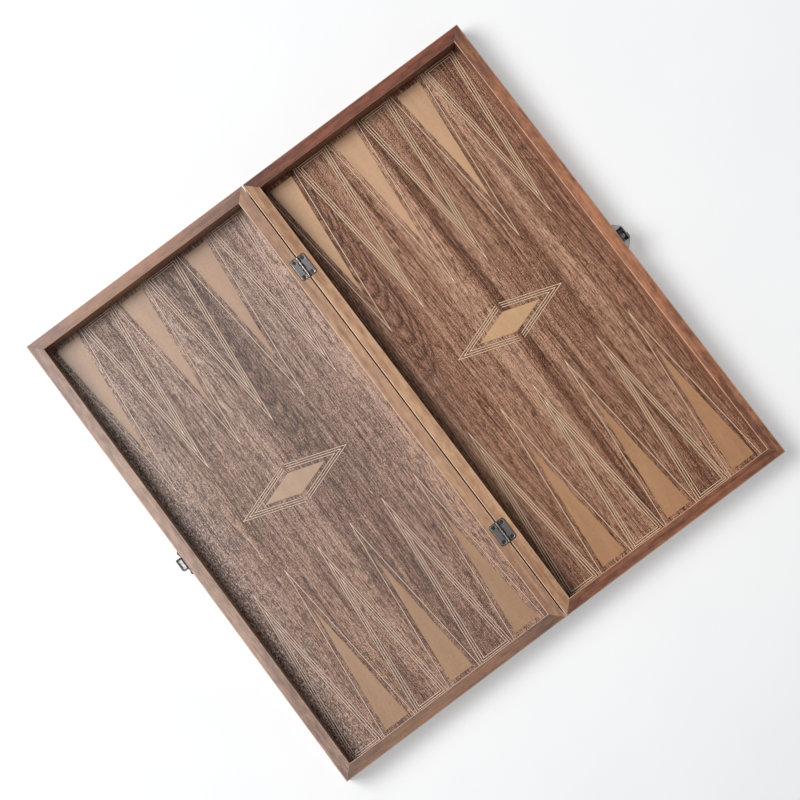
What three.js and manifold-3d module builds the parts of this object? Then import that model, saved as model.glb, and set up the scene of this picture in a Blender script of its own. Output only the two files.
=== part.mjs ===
// Folding backgammon case, lying open: two shallow mitred wooden trays, two small butt hinges let into
// the seam rails, and a sliding-button latch on the outer rails. Millimetres, +Z up. The origin is on
// the table under the middle of the seam, X runs across the two halves and Y along the hinge line.

import * as THREE from 'three';
import { mergeVertices } from 'three/addons/utils/BufferGeometryUtils.js';
import Module from 'manifold-3d';

const wasm = await Module();
wasm.setup();

// ---- Driving dimensions ----

// Trays
const boardLength = 480;
const trayWidth = 240;
const seamGap = 1;
const trayHeight = 30;
const railThickness = 11.5;
const railRebate = 6;
const outsideVeneerTop = 0.6;
const coreTop = 5.4;
const fieldTop = 6;
const inlayGap = 0.1;
const fitGap = 0.05;

// Marquetry
const pointsPerEnd = 6;
const pointPitch = 35.8;
const pointHalfBase = 12.1;
const pointBaseInset = 4.1;
const pointTipY = 98.5;
const diamondHalfLength = 33.3;
const diamondHalfHeight = 10.9;

// Hinges
const hingeCentres = [-147.5, 147.5];
const leafLength = 21;
const leafReach = 7.9;
const leafThickness = 1.2;
const leafCornerRadius = 2.2;
const leafSetback = 1.9;
const leafPocketMargin = 0.15;
const knuckleCount = 5;
const knuckleGap = 0.3;
const barrelRadius = 1.5;
const barrelRise = 0.2;
const barrelNotchReach = 2.1;
const barrelNotchDepth = 1.9;
const pinRadius = 0.75;
const pinBoreRadius = 0.95;
const pinLength = 20.6;

// Hinge screws
const hingeScrewX = 4.4;
const hingeScrewY = 7.6;
const hingeScrewHeadRadius = 1.7;
const hingeScrewShankRadius = 0.75;
const hingeScrewLength = 9;
const headDepth = 0.95;
const headSink = 0.05;
const screwClearance = 0.15;

// Latch, measured outwards from the outer rail (reach), along it (span) and from the rim (height)
const latchY = -0.5;
const latchHalfSpan = 12.5;
const keeperBottom = -11;
const latchTop = -0.4;
const keeperThickness = 0.8;
const stapleReach = [1.2, 5.8];
const stapleHalfSpan = 6;
const stapleWall = 0.8;
const stapleCornerRadius = 1.4;
const stapleHeight = [-4, 4.3];
const shelfHeight = [1, 1.8];
const caseBottom = -10.6;
const caseReach = 6.8;
const caseHalfSpan = 7.2;
const caseWall = 0.7;
const mouthHalfSpan = 6.3;
const caseFloor = 0.8;
const shoulderReach = 5.2;
const flangeReach = 1;
const latchScrewSpan = 10.2;
const latchScrewHeight = -5.5;
const latchScrewHeadRadius = 1.7;
const latchScrewHeadHeight = 1.1;
const latchScrewShankRadius = 0.7;
const latchScrewLength = 8;
const spotFaceRadius = 2;

// Sliding button and its bolt
const buttonTravel = 1.9;
const buttonPlateReach = [5.2, 5.9];
const buttonPlateSpan = [-5.2, 3];
const buttonPlateHeight = [-9.6, -5.2];
const thumbReach = 8.2;
const thumbSpan = [-4.5, 0];
const thumbHeight = [-8.9, -6.9];
const boltReach = [3, 4.6];
const boltArmSpan = [-4.4, -2.8];
const boltArmTop = -1.9;
const boltTipSpan = -6.1;
const boltHeight = [-3, -2];
const boltClearance = 0.3;
const springSeatThickness = 0.8;
const springSeatHeight = [-9.2, -6];
const springRadius = 1;
const springWireRadius = 0.15;
const springTurns = 4;
const springCentre = { reach: 4.1, height: -7.6 };

// Faceting
const arcSteps = 6;
const roundSides = 20;
const wireSides = 6;
const stepsPerTurn = 9;
const cutMargin = 1;

// ---- Materials ----

const finish = (color, roughness, metalness = 0) =>
  new THREE.MeshStandardMaterial({ color, roughness, metalness });

const materials = {
  rail: finish(0x8a5c46, 0.55),
  field: finish(0x6e5548, 0.5),
  core: finish(0xb08d62, 0.85),
  outside: finish(0x7a5442, 0.5),
  inlay: finish(0xc49c76, 0.5),
  hinge: finish(0x6c6866, 0.4, 1),
  screw: finish(0x55514f, 0.4, 1),
  steel: finish(0xb9b4b0, 0.3, 1),
  latch: finish(0x9d9a98, 0.35, 1),
  button: finish(0x2c2a29, 0.4, 1),
};

// ---- Making, joining and cutting solids ----

function toSolid(geometry) {
  const bare = geometry.clone();
  bare.deleteAttribute('normal');
  bare.deleteAttribute('uv');
  const merged = mergeVertices(bare, 1e-5);
  const corners = Array.from(merged.index.array);
  const kept = [];
  for (let i = 0; i < corners.length; i += 3) {
    const [a, b, c] = corners.slice(i, i + 3);
    if (a !== b && b !== c && c !== a) kept.push(a, b, c);
  }
  return new wasm.Manifold(new wasm.Mesh({
    numProp: 3,
    vertProperties: new Float32Array(merged.attributes.position.array),
    triVerts: new Uint32Array(kept),
  }));
}

function toGeometry(solid) {
  const mesh = solid.getMesh();
  const geometry = new THREE.BufferGeometry();
  geometry.setAttribute('position', new THREE.BufferAttribute(mesh.vertProperties, 3));
  geometry.setIndex(new THREE.BufferAttribute(mesh.triVerts, 1));
  geometry.computeVertexNormals();
  return geometry;
}

function join(...pieces) {
  return toGeometry(pieces.map(toSolid).reduce((whole, piece) => whole.add(piece)));
}

function cut(piece, cutters) {
  return toGeometry(cutters.map(toSolid).reduce((rest, cutter) => rest.subtract(cutter), toSolid(piece)));
}

function block(low, high) {
  const [width, depth, height] = high.map((value, axis) => value - low[axis]);
  const box = new THREE.BoxGeometry(width, depth, height);
  return box.translate(low[0] + width / 2, low[1] + depth / 2, low[2] + height / 2);
}

function outline(points) {
  return new THREE.Shape(points.map(([x, y]) => new THREE.Vector2(x, y)));
}

function prism(shape, bottom, top) {
  const settings = { depth: top - bottom, bevelEnabled: false, curveSegments: arcSteps };
  return new THREE.ExtrudeGeometry(shape, settings).translate(0, 0, bottom);
}

function rodAlongY(radius, from, to, x = 0, z = 0) {
  const rod = new THREE.CylinderGeometry(radius, radius, to - from, roundSides);
  return rod.translate(0, (from + to) / 2, 0).translate(x, 0, z);
}

// A turned piece: the profile lists [radius, height] from its lowest point on the axis to its highest
function turned(profile) {
  const points = profile.map(([radius, height]) => new THREE.Vector2(radius, height));
  return new THREE.LatheGeometry(points, roundSides).rotateX(Math.PI / 2);
}

const model = new THREE.Group();

function addMesh(name, geometry, material, parent = model) {
  const mesh = new THREE.Mesh(geometry, material);
  mesh.name = name;
  parent.add(mesh);
  return mesh;
}

// ---- Trays ----

const trays = [
  { name: 'left', side: -1, marquetryShift: -1.2 },
  { name: 'right', side: 1, marquetryShift: -2 },
].map((tray) => {
  const seamX = tray.side * seamGap / 2;
  const outerX = tray.side * (seamGap / 2 + trayWidth);
  return { ...tray, seamX, outerX, minX: Math.min(seamX, outerX), maxX: Math.max(seamX, outerX) };
});

const halfLength = boardLength / 2;
const fieldHalfLength = halfLength - railThickness;

// The rails' outer edges, counter-clockwise round the tray
function railEdges(tray) {
  const { minX, maxX } = tray;
  const [atMaxX, atMinX] = tray.side < 0 ? ['hinge', 'outer'] : ['outer', 'hinge'];
  return {
    near: [[minX, -halfLength], [maxX, -halfLength]],
    [atMaxX]: [[maxX, -halfLength], [maxX, halfLength]],
    far: [[maxX, halfLength], [minX, halfLength]],
    [atMinX]: [[minX, halfLength], [minX, -halfLength]],
  };
}

// A rail with both ends mitred at 45 degrees
function mitredRail([start, end]) {
  const from = new THREE.Vector2(...start);
  const to = new THREE.Vector2(...end);
  const along = to.clone().sub(from).normalize().multiplyScalar(railThickness);
  const inward = new THREE.Vector2(-along.y, along.x);
  const corners = [from, to, to.clone().add(inward).sub(along), from.clone().add(inward).add(along)];
  return prism(new THREE.Shape(corners), 0, trayHeight);
}

function insetBlock(tray, inset, bottom, top) {
  return block(
    [tray.minX + inset, inset - halfLength, bottom],
    [tray.maxX - inset, halfLength - inset, top],
  );
}

function leafOutline(innerX, margin) {
  const reach = leafReach + margin;
  const half = leafLength / 2 + margin;
  const shape = new THREE.Shape();
  shape.moveTo(innerX, -half);
  shape.lineTo(reach - leafCornerRadius, -half);
  shape.absarc(reach - leafCornerRadius, leafCornerRadius - half, leafCornerRadius, -Math.PI / 2, 0);
  shape.absarc(reach - leafCornerRadius, half - leafCornerRadius, leafCornerRadius, 0, Math.PI / 2);
  shape.lineTo(innerX, half);
  return shape;
}

function screwHole(radius, depth) {
  return new THREE.CylinderGeometry(radius, radius, depth + cutMargin, roundSides)
    .rotateX(Math.PI / 2)
    .translate(0, 0, (cutMargin - depth) / 2);
}

const hingeScrewPlaces = [-hingeScrewY, hingeScrewY].map((y) => [hingeScrewX, y]);

// Everything a hinge needs removed from the rail on the +X side of the seam, about the hinge's centre
function hingeCutters() {
  const holeRadius = hingeScrewShankRadius + screwClearance;
  const notchHalf = leafLength / 2 + knuckleGap;
  return [
    prism(leafOutline(-cutMargin, leafPocketMargin), -leafThickness - fitGap, cutMargin),
    block([-cutMargin, -notchHalf, -barrelNotchDepth], [barrelNotchReach, notchHalf, cutMargin]),
    ...hingeScrewPlaces.map(([x, y]) => screwHole(holeRadius, hingeScrewLength + cutMargin).translate(x, y, 0)),
  ];
}

function hingeRailCutters(tray) {
  const turn = tray.side < 0 ? Math.PI : 0;
  return hingeCentres.flatMap((y) =>
    hingeCutters().map((cutter) => cutter.rotateZ(turn).translate(0, y, trayHeight)));
}

function outerRailCutters(tray) {
  const holeRadius = latchScrewShankRadius + screwClearance;
  return [-latchScrewSpan, latchScrewSpan].map((span) =>
    screwHole(holeRadius, latchScrewLength + cutMargin)
      .rotateY(tray.side * Math.PI / 2)
      .translate(tray.outerX, latchY + span, trayHeight + latchScrewHeight));
}

function railPockets(tray, place) {
  if (place === 'hinge') return hingeRailCutters(tray);
  if (place === 'outer') return outerRailCutters(tray);
  return [];
}

function buildFrame(tray) {
  const rebate = insetBlock(tray, railThickness - railRebate, -cutMargin, coreTop);
  for (const [place, edge] of Object.entries(railEdges(tray))) {
    const rail = cut(mitredRail(edge), [rebate, ...railPockets(tray, place)]);
    addMesh(`${tray.name}_${place}_rail`, rail, materials.rail);
  }
}

// ---- Marquetry ----

function pointOutline(centreX, end, grow) {
  const baseY = end * (fieldHalfLength - pointBaseInset + grow);
  const slope = pointHalfBase / (fieldHalfLength - pointBaseInset - pointTipY);
  const tipY = end * (pointTipY - grow / slope);
  const half = pointHalfBase + grow;
  return outline([[centreX - half, baseY], [centreX + half, baseY], [centreX, tipY]]);
}

function diamondOutline(centreX, grow) {
  const halfLong = diamondHalfLength + grow * 3;
  const halfHigh = diamondHalfHeight + grow;
  return outline([[centreX - halfLong, 0], [centreX, -halfHigh], [centreX + halfLong, 0], [centreX, halfHigh]]);
}

// Light filled points alternate with outlined ones, starting from opposite corners at the two ends
function lightInlays(tray) {
  const centreX = (tray.minX + tray.maxX) / 2 + tray.marquetryShift;
  const inlays = [{ name: `${tray.name}_diamond`, shape: (grow) => diamondOutline(centreX, grow) }];
  for (const [place, end, first] of [['far', 1, 0], ['near', -1, 1]]) {
    for (let i = first; i < pointsPerEnd; i += 2) {
      const x = centreX + (i - (pointsPerEnd - 1) / 2) * pointPitch;
      inlays.push({ name: `${tray.name}_${place}_point_${i + 1}`, shape: (grow) => pointOutline(x, end, grow) });
    }
  }
  return inlays;
}

function buildPanel(tray) {
  const panelInset = railThickness - railRebate;
  const inlays = lightInlays(tray);
  const pockets = inlays.map(({ shape }) => prism(shape(inlayGap), coreTop - cutMargin, fieldTop + cutMargin));
  const field = cut(insetBlock(tray, railThickness, coreTop, fieldTop), pockets);
  addMesh(`${tray.name}_outside_veneer`, insetBlock(tray, panelInset, 0, outsideVeneerTop), materials.outside);
  addMesh(`${tray.name}_base_panel`, insetBlock(tray, panelInset, outsideVeneerTop, coreTop), materials.core);
  addMesh(`${tray.name}_field_veneer`, field, materials.field);
  for (const { name, shape } of inlays) addMesh(name, prism(shape(0), coreTop, fieldTop), materials.inlay);
}

// ---- Hinges ----

// The +X leaf, about the middle of the seam at rim height, with the knuckles whose numbers are given
function hingeLeaf(ownKnuckles) {
  const pitch = leafLength / knuckleCount;
  const pieces = [prism(leafOutline(leafSetback, 0), -leafThickness, 0)];
  for (const index of ownKnuckles) {
    const trim = knuckleGap / 2;
    const from = index * pitch - leafLength / 2 + (index > 0 ? trim : 0);
    const to = (index + 1) * pitch - leafLength / 2 - (index < knuckleCount - 1 ? trim : 0);
    pieces.push(block([0, from, -leafThickness], [leafSetback + cutMargin, to, 0]));
    pieces.push(rodAlongY(barrelRadius, from, to, 0, barrelRise));
  }
  const bore = rodAlongY(pinBoreRadius, -leafLength, leafLength, 0, barrelRise);
  const countersink = turned([
    [0, -leafThickness - cutMargin],
    [hingeScrewShankRadius + screwClearance, -leafThickness - cutMargin],
    [hingeScrewShankRadius + screwClearance, -headDepth - headSink],
    [hingeScrewHeadRadius + screwClearance, 0],
    [hingeScrewHeadRadius + screwClearance, cutMargin],
    [0, cutMargin],
  ]);
  const sinks = hingeScrewPlaces.map(([x, y]) => countersink.clone().translate(x, y, 0));
  return cut(join(...pieces), [bore, ...sinks]);
}

function crossSlots(halfLengthOfSlot, halfWidth, bottom, top) {
  return [
    block([-halfLengthOfSlot, -halfWidth, bottom], [halfLengthOfSlot, halfWidth, top]),
    block([-halfWidth, -halfLengthOfSlot, bottom], [halfWidth, halfLengthOfSlot, top]),
  ];
}

// Countersunk wood screw, head up, with the rim of its head at height 0
function countersunkScrew() {
  const body = turned([
    [0, -hingeScrewLength],
    [hingeScrewShankRadius, 2 * hingeScrewShankRadius - hingeScrewLength],
    [hingeScrewShankRadius, -headDepth],
    [hingeScrewHeadRadius, 0],
    [0, 0],
  ]);
  return cut(body, crossSlots(1, 0.25, -0.6, cutMargin));
}

function buildHinge(number, y) {
  const hinge = new THREE.Group();
  hinge.position.set(0, y, trayHeight);
  model.add(hinge);
  const sides = [
    { name: 'left', turn: Math.PI, knuckles: [0, 2, 4] },
    { name: 'right', turn: 0, knuckles: [1, 3] },
  ];
  for (const side of sides) {
    const half = new THREE.Group();
    half.rotation.z = side.turn;
    hinge.add(half);
    addMesh(`hinge_${number}_${side.name}_leaf`, hingeLeaf(side.knuckles), materials.hinge, half);
    hingeScrewPlaces.forEach(([x, screwY], index) => {
      const name = `hinge_${number}_${side.name}_screw_${index + 1}`;
      addMesh(name, countersunkScrew(), materials.screw, half).position.set(x, screwY, -headSink);
    });
  }
  const pin = rodAlongY(pinRadius, -pinLength / 2, pinLength / 2, 0, barrelRise);
  addMesh(`hinge_${number}_pin`, pin, materials.steel, hinge);
}

// ---- Latch ----
// Latch pieces are drawn with X outwards from the outer rail's face, Y along the rail and Z from the rim

function latchGroup(tray) {
  const group = new THREE.Group();
  group.position.set(tray.outerX, latchY, trayHeight);
  group.rotation.z = tray.side < 0 ? Math.PI : 0;
  model.add(group);
  return group;
}

// Round-headed screw driven inwards, its head standing on the surface at the given reach
function latchScrew() {
  const head = latchScrewHeadRadius;
  const dome = latchScrewHeadHeight;
  const body = turned([
    [0, -latchScrewLength],
    [latchScrewShankRadius, 2 * latchScrewShankRadius - latchScrewLength],
    [latchScrewShankRadius, 0],
    [head, 0],
    [head * 0.94, dome * 0.4],
    [head * 0.72, dome * 0.75],
    [head * 0.38, dome * 0.96],
    [0, dome],
  ]);
  return cut(body, crossSlots(1, 0.22, dome * 0.45, dome + cutMargin)).rotateY(Math.PI / 2);
}

function addLatchScrews(group, owner, seatReach) {
  [-latchScrewSpan, latchScrewSpan].forEach((span, index) => {
    const screw = addMesh(`${owner}_screw_${index + 1}`, latchScrew(), materials.steel, group);
    screw.position.set(seatReach + fitGap, span, latchScrewHeight);
  });
}

function latchScrewHoles() {
  return [-latchScrewSpan, latchScrewSpan].map((span) =>
    screwHole(latchScrewShankRadius + screwClearance, caseReach)
      .rotateY(Math.PI / 2)
      .translate(caseReach - cutMargin, span, latchScrewHeight));
}

// A U of flat strip, seen from above: two legs running out from the rail and a front wall
function stapleOutline() {
  const [back, front] = stapleReach;
  const radius = stapleCornerRadius;
  const bend = front - radius;
  const inner = stapleHalfSpan - stapleWall;
  const shape = new THREE.Shape();
  shape.moveTo(back, -stapleHalfSpan);
  shape.lineTo(bend, -stapleHalfSpan);
  shape.absarc(bend, radius - stapleHalfSpan, radius, -Math.PI / 2, 0);
  shape.absarc(bend, stapleHalfSpan - radius, radius, 0, Math.PI / 2);
  shape.lineTo(back, stapleHalfSpan);
  shape.lineTo(back, inner);
  shape.absarc(bend, stapleHalfSpan - radius, radius - stapleWall, Math.PI / 2, 0, true);
  shape.absarc(bend, radius - stapleHalfSpan, radius - stapleWall, 0, -Math.PI / 2, true);
  shape.lineTo(back, -inner);
  return shape;
}

function buildKeeper() {
  const group = latchGroup(trays[0]);
  const plate = prism(outline([
    [fitGap, -latchHalfSpan],
    [keeperThickness / 2, -latchHalfSpan],
    [keeperThickness, -latchHalfSpan + 1],
    [keeperThickness, latchHalfSpan - 1],
    [keeperThickness / 2, latchHalfSpan],
    [fitGap, latchHalfSpan],
  ]), keeperBottom, latchTop);
  const foot = block(
    [keeperThickness / 2, -stapleHalfSpan, stapleHeight[0]],
    [stapleReach[0] + stapleWall, stapleHalfSpan, latchTop],
  );
  const staple = prism(stapleOutline(), ...stapleHeight);
  const shelf = block(
    [stapleReach[0], stapleWall / 2 - stapleHalfSpan, shelfHeight[0]],
    [stapleReach[1] - stapleWall / 2, stapleHalfSpan - stapleWall / 2, shelfHeight[1]],
  );
  const closedRim = 2 * barrelRise;
  const boltHole = block(
    [boltReach[0] - boltClearance, -stapleHalfSpan - cutMargin, closedRim - boltHeight[1] - boltClearance],
    [boltReach[1] + boltClearance, stapleHalfSpan + cutMargin, closedRim - boltHeight[0] + boltClearance],
  );
  const keeper = cut(join(plate, foot, staple, shelf), [boltHole, ...latchScrewHoles()]);
  addMesh('keeper_plate', keeper, materials.latch, group);
  addLatchScrews(group, 'keeper', keeperThickness);
}

// The case is open towards the rail and at the rim, where the staple goes in
function latchCase() {
  const shell = prism(outline([
    [fitGap, -latchHalfSpan],
    [flangeReach, -latchHalfSpan],
    [shoulderReach, -caseHalfSpan - caseWall],
    [caseReach, -caseHalfSpan + caseWall],
    [caseReach, caseHalfSpan - caseWall],
    [shoulderReach, caseHalfSpan + caseWall],
    [flangeReach, latchHalfSpan],
    [fitGap, latchHalfSpan],
  ]), caseBottom, latchTop);
  const cavity = block(
    [-cutMargin, -mouthHalfSpan, caseBottom + caseFloor],
    [caseReach - caseWall, mouthHalfSpan, cutMargin],
  );
  const thumbSlot = block(
    [buttonPlateReach[0], thumbSpan[0] - fitGap * 4, thumbHeight[0] - fitGap * 4],
    [caseReach + cutMargin, thumbSpan[1] + buttonTravel + fitGap * 4, thumbHeight[1] + fitGap * 4],
  );
  const spotFaces = [-latchScrewSpan, latchScrewSpan].map((span) =>
    new THREE.CylinderGeometry(spotFaceRadius, spotFaceRadius, caseReach, roundSides)
      .rotateZ(Math.PI / 2)
      .translate(flangeReach + caseReach / 2, span, latchScrewHeight));
  return cut(shell, [cavity, thumbSlot, ...spotFaces, ...latchScrewHoles()]);
}

// The button's plate slides behind the case's front wall; its arm carries the bolt up into the mouth
function latchButton() {
  const plate = block(
    [buttonPlateReach[0], buttonPlateSpan[0], buttonPlateHeight[0]],
    [buttonPlateReach[1], buttonPlateSpan[1], buttonPlateHeight[1]],
  );
  const thumb = block(
    [buttonPlateReach[0], thumbSpan[0], thumbHeight[0]],
    [thumbReach, thumbSpan[1], thumbHeight[1]],
  );
  const elbow = block(
    [boltReach[0], boltArmSpan[0], buttonPlateHeight[0]],
    [buttonPlateReach[1], boltArmSpan[1], buttonPlateHeight[1]],
  );
  const arm = block(
    [boltReach[0], boltArmSpan[0], buttonPlateHeight[0]],
    [boltReach[1], boltArmSpan[1], boltArmTop],
  );
  const bolt = block([boltReach[0], boltTipSpan, boltHeight[0]], [boltReach[1], boltArmSpan[1], boltHeight[1]]);
  const springSeat = block(
    [springCentre.reach - springRadius, buttonPlateSpan[1] - springSeatThickness, springSeatHeight[0]],
    [buttonPlateReach[1], buttonPlateSpan[1], springSeatHeight[1]],
  );
  return join(plate, thumb, elbow, arm, bolt, springSeat);
}

class Helix extends THREE.Curve {
  constructor(radius, turns, length) {
    super();
    Object.assign(this, { radius, turns, length });
  }

  getPoint(t, target = new THREE.Vector3()) {
    const angle = t * this.turns * 2 * Math.PI;
    return target.set(this.radius * Math.cos(angle), t * this.length, this.radius * Math.sin(angle));
  }
}

// Compression spring between the button's seat and the case's end wall
function latchSpring() {
  const clearance = springWireRadius + fitGap;
  const from = buttonPlateSpan[1] + clearance;
  const to = mouthHalfSpan - clearance;
  const wire = new THREE.Shape();
  wire.absarc(0, 0, springWireRadius, 0, 2 * Math.PI);
  const coil = new THREE.ExtrudeGeometry(wire, {
    extrudePath: new Helix(springRadius, springTurns, to - from),
    steps: springTurns * stepsPerTurn,
    curveSegments: wireSides,
    bevelEnabled: false,
  });
  return coil.translate(springCentre.reach, from, springCentre.height);
}

function buildLatch() {
  const group = latchGroup(trays[1]);
  addMesh('latch_case', latchCase(), materials.latch, group);
  addMesh('latch_button', latchButton(), materials.button, group);
  addMesh('latch_spring', latchSpring(), materials.steel, group);
  addLatchScrews(group, 'latch', flangeReach);
}

// ---- Assembly ----

for (const tray of trays) {
  buildFrame(tray);
  buildPanel(tray);
}
hingeCentres.forEach((y, index) => buildHinge(index + 1, y));
buildKeeper();
buildLatch();

export default model;
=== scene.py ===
"""Looks of the folding backgammon case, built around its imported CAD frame.

Everything is in metres, in the frame of the CAD: the case lies open on the table, X runs across the two
trays and Y along the hinge line. Shapes are drawn in millimetres, and `add_piece` turns them into metres.
"""

import math

import bmesh
import bpy
from mathutils import Matrix, Vector


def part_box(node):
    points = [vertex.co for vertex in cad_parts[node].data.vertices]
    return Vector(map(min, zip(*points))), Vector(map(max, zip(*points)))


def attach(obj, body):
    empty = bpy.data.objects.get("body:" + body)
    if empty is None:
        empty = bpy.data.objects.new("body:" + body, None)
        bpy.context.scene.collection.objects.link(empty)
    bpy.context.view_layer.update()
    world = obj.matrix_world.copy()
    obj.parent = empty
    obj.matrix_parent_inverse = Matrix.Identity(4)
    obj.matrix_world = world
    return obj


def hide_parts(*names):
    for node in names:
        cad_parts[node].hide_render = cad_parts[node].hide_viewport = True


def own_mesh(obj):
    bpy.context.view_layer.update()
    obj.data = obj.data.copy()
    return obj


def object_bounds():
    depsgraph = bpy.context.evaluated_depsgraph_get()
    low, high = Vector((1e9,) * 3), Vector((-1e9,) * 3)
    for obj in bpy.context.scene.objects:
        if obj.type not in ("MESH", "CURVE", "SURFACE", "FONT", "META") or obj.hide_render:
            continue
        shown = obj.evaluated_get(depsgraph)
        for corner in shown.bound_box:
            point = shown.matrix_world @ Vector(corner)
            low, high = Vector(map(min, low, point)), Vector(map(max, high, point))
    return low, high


MM = 0.001

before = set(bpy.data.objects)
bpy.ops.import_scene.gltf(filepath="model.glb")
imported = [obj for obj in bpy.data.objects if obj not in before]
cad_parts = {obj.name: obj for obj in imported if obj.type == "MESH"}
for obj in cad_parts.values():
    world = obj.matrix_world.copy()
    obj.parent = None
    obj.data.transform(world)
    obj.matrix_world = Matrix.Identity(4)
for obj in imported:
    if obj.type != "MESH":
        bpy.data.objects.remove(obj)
cad_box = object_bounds()

# ---- Sizes that the frame gives, in metres ----

SIDES = {"left": -1, "right": 1}
ENDS = {"near": -1, "far": 1}
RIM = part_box("left_near_rail")[1].z
FIELD_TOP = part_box("left_field_veneer")[1].z
CORE_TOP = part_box("left_base_panel")[1].z
RAIL_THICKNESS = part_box("left_hinge_rail")[1].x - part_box("left_hinge_rail")[0].x
REBATE = RAIL_THICKNESS - (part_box("left_base_panel")[0].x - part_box("left_outer_rail")[0].x)

# ---- Sizes of the fine detail, in millimetres ----

RIM_EASE = 0.8
FOOT_EASE = 0.5
MITRE_EASE = 0.16

POINT_PITCH = 35.8
POINTS_PER_END = 6
LINE_SLOPE = 0.0987
LINE_WIDTH = 0.54
LINE_DEPTH = 0.3
LINE_PROUD = 0.02
GLUE_WIDTH = 0.35
GLUE_PROUD = 0.01
OPEN_LINE_TIP = 55.4
CLOSED_LINES = [
    {"tip": 73.0, "base_inset": 1.0, "slope": 0.0954},
    {"tip": 91.0, "base_inset": 3.05, "slope": 0.0913},
]
CHEVRON_REACH = 58.1
CHEVRON_SLOPE = 0.346
CHEVRON_SPACING = 2.27
CHEVRON_COUNT = 3
CHEVRON_GAP = 4.0

LEAF_REACH = 7.9
LEAF_SETBACK = 2.2
TAIL_SINK = 0.55
TAIL_OVERLAP = 1.0
LEAF_THICKNESS = 1.2
LEAF_CORNER = 2.2
LEAF_CHAMFER = 0.6
POCKET_MARGIN = 0.4
KNUCKLES = 5
KNUCKLE_GAP = 0.3
BARREL_RADIUS = 1.5
BARREL_NOTCH = (2.1, 1.9)
PIN_RADIUS = 0.75
PIN_BORE = 0.95
PIN_CHAMFER = 0.25
PIN_TIP_SHARE = 0.6
HINGE_SCREW_PLACE = (4.4, 7.6)
HINGE_SCREW_HEAD = 1.7
HINGE_SCREW_SHANK = 0.75
HINGE_SCREW_LENGTH = 9.0
HINGE_SCREW_SINK = 0.95
HINGE_SLOT = {"reach": 1.0, "width": 0.5, "bottom": -0.6}
SCREW_TIP = 0.1
SCREW_HEAD_EDGE = 0.1
SCREW_CLEARANCE = 0.15
SINK_CLEARANCE = 0.4

LATCH_HALF_SPAN = 12.5
LATCH_TOP = -0.4
KEEPER_BOTTOM = -11.0
KEEPER_THICKNESS = 0.8
KEEPER_EDGE = 1.0
KEEPER_EASE = 0.15
STAPLE_REACH = (1.2, 5.8)
STAPLE_HALF_SPAN = 6.0
STAPLE_WALL = 1.0
STAPLE_CORNER = 1.4
STAPLE_HEIGHT = (-4.0, 4.3)
SHELF_HEIGHT = (1.0, 1.8)
BOLT_HOLE_REACH = (2.7, 4.9)
BOLT_HOLE_HEIGHT = (2.1, 3.7)
CASE_BOTTOM = -10.6
CASE_FLOOR = 0.8
CASE_REACH = 6.8
CASE_HALF_SPAN = 7.2
CASE_WALL = 0.7
CASE_EASE = 0.3
MOUTH_HALF_SPAN = 6.3
SHOULDER_REACH = 5.2
FLANGE_REACH = 1.0
SPOT_FACE_RADIUS = 2.0
LATCH_SCREW_SPAN = 10.2
LATCH_SCREW_HEIGHT = -5.5
LATCH_SCREW_HEAD = 1.7
LATCH_SCREW_DOME = 1.1
LATCH_SCREW_SHANK = 0.7
LATCH_SCREW_LENGTH = 8.0
LATCH_SCREW_TOP = 0.05
LATCH_SLOT = {"reach": 1.0, "width": 0.44, "bottom": 0.495}
BUTTON_PLATE = ((5.2, -5.2, -9.6), (5.9, 3.0, -5.2))
BUTTON_THUMB = ((5.2, -4.5, -8.9), (8.2, 0.0, -6.9))
BUTTON_ELBOW = ((3.0, -4.4, -9.6), (5.9, -2.8, -5.2))
BUTTON_ARM = ((3.0, -4.4, -9.6), (4.6, -2.8, -1.9))
BUTTON_BOLT = ((3.0, -6.1, -3.0), (4.6, -2.8, -2.0))
BUTTON_SEAT = ((3.1, 2.2, -9.2), (5.9, 3.0, -6.0))
THUMB_RIDGES = 4
RIDGE_HALF_WIDTH = 0.2
RIDGE_DEPTH = 0.25
BUTTON_EASE = 0.1
BUTTON_TRAVEL = 1.9
SPRING_RADIUS = 1.0
SPRING_WIRE = 0.15
SPRING_TURNS = 4
SPRING_STEPS_PER_TURN = 24
SPRING_WIRE_SIDES = 12
SPRING_PLACE = (4.1, -7.6)
SPRING_SPAN = (3.2, 6.1)
FIT = 0.05

CUT_MARGIN = 1.0  # how far a cutting shape reaches past the face that it cuts
SAME_PLACE = 1e-3  # places closer than this count as one
ROUND_SIDES = 48
CORNER_STEPS = 8
SHARP_EDGE = 50  # degrees


# ---- Making meshes (sizes in millimetres until `add_piece` turns them into metres) ----


def mesh_from(vertices, faces):
    mesh = bpy.data.meshes.new("shape")
    mesh.from_pydata([tuple(v) for v in vertices], [], faces)
    shape = bmesh.new()
    shape.from_mesh(mesh)
    bmesh.ops.recalc_face_normals(shape, faces=shape.faces)
    shape.to_mesh(mesh)
    shape.free()
    return mesh


def joined_rings(rings):
    """A closed skin over rings that all have the same number of corners."""
    count = len(rings[0])
    vertices = [corner for ring in rings for corner in ring]
    faces = []
    for start in range(0, count * (len(rings) - 1), count):
        for i in range(count):
            j = (i + 1) % count
            faces.append((start + i, start + j, start + count + j, start + count + i))
    faces.append(tuple(reversed(range(count))))
    faces.append(tuple(range(len(vertices) - count, len(vertices))))
    return mesh_from(vertices, faces)


def prism(outline, low, high, axis="Z"):
    """The outline pushed from low to high along an axis; its corners give the two other axes in order."""
    order = {"X": (2, 0, 1), "Y": (0, 2, 1), "Z": (0, 1, 2)}[axis]
    rings = [[[(*corner, level)[i] for i in order] for corner in outline] for level in (low, high)]
    return joined_rings(rings)


def block(low, high):
    outline = [(low[0], low[1]), (high[0], low[1]), (high[0], high[1]), (low[0], high[1])]
    return prism(outline, low[2], high[2])


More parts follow.
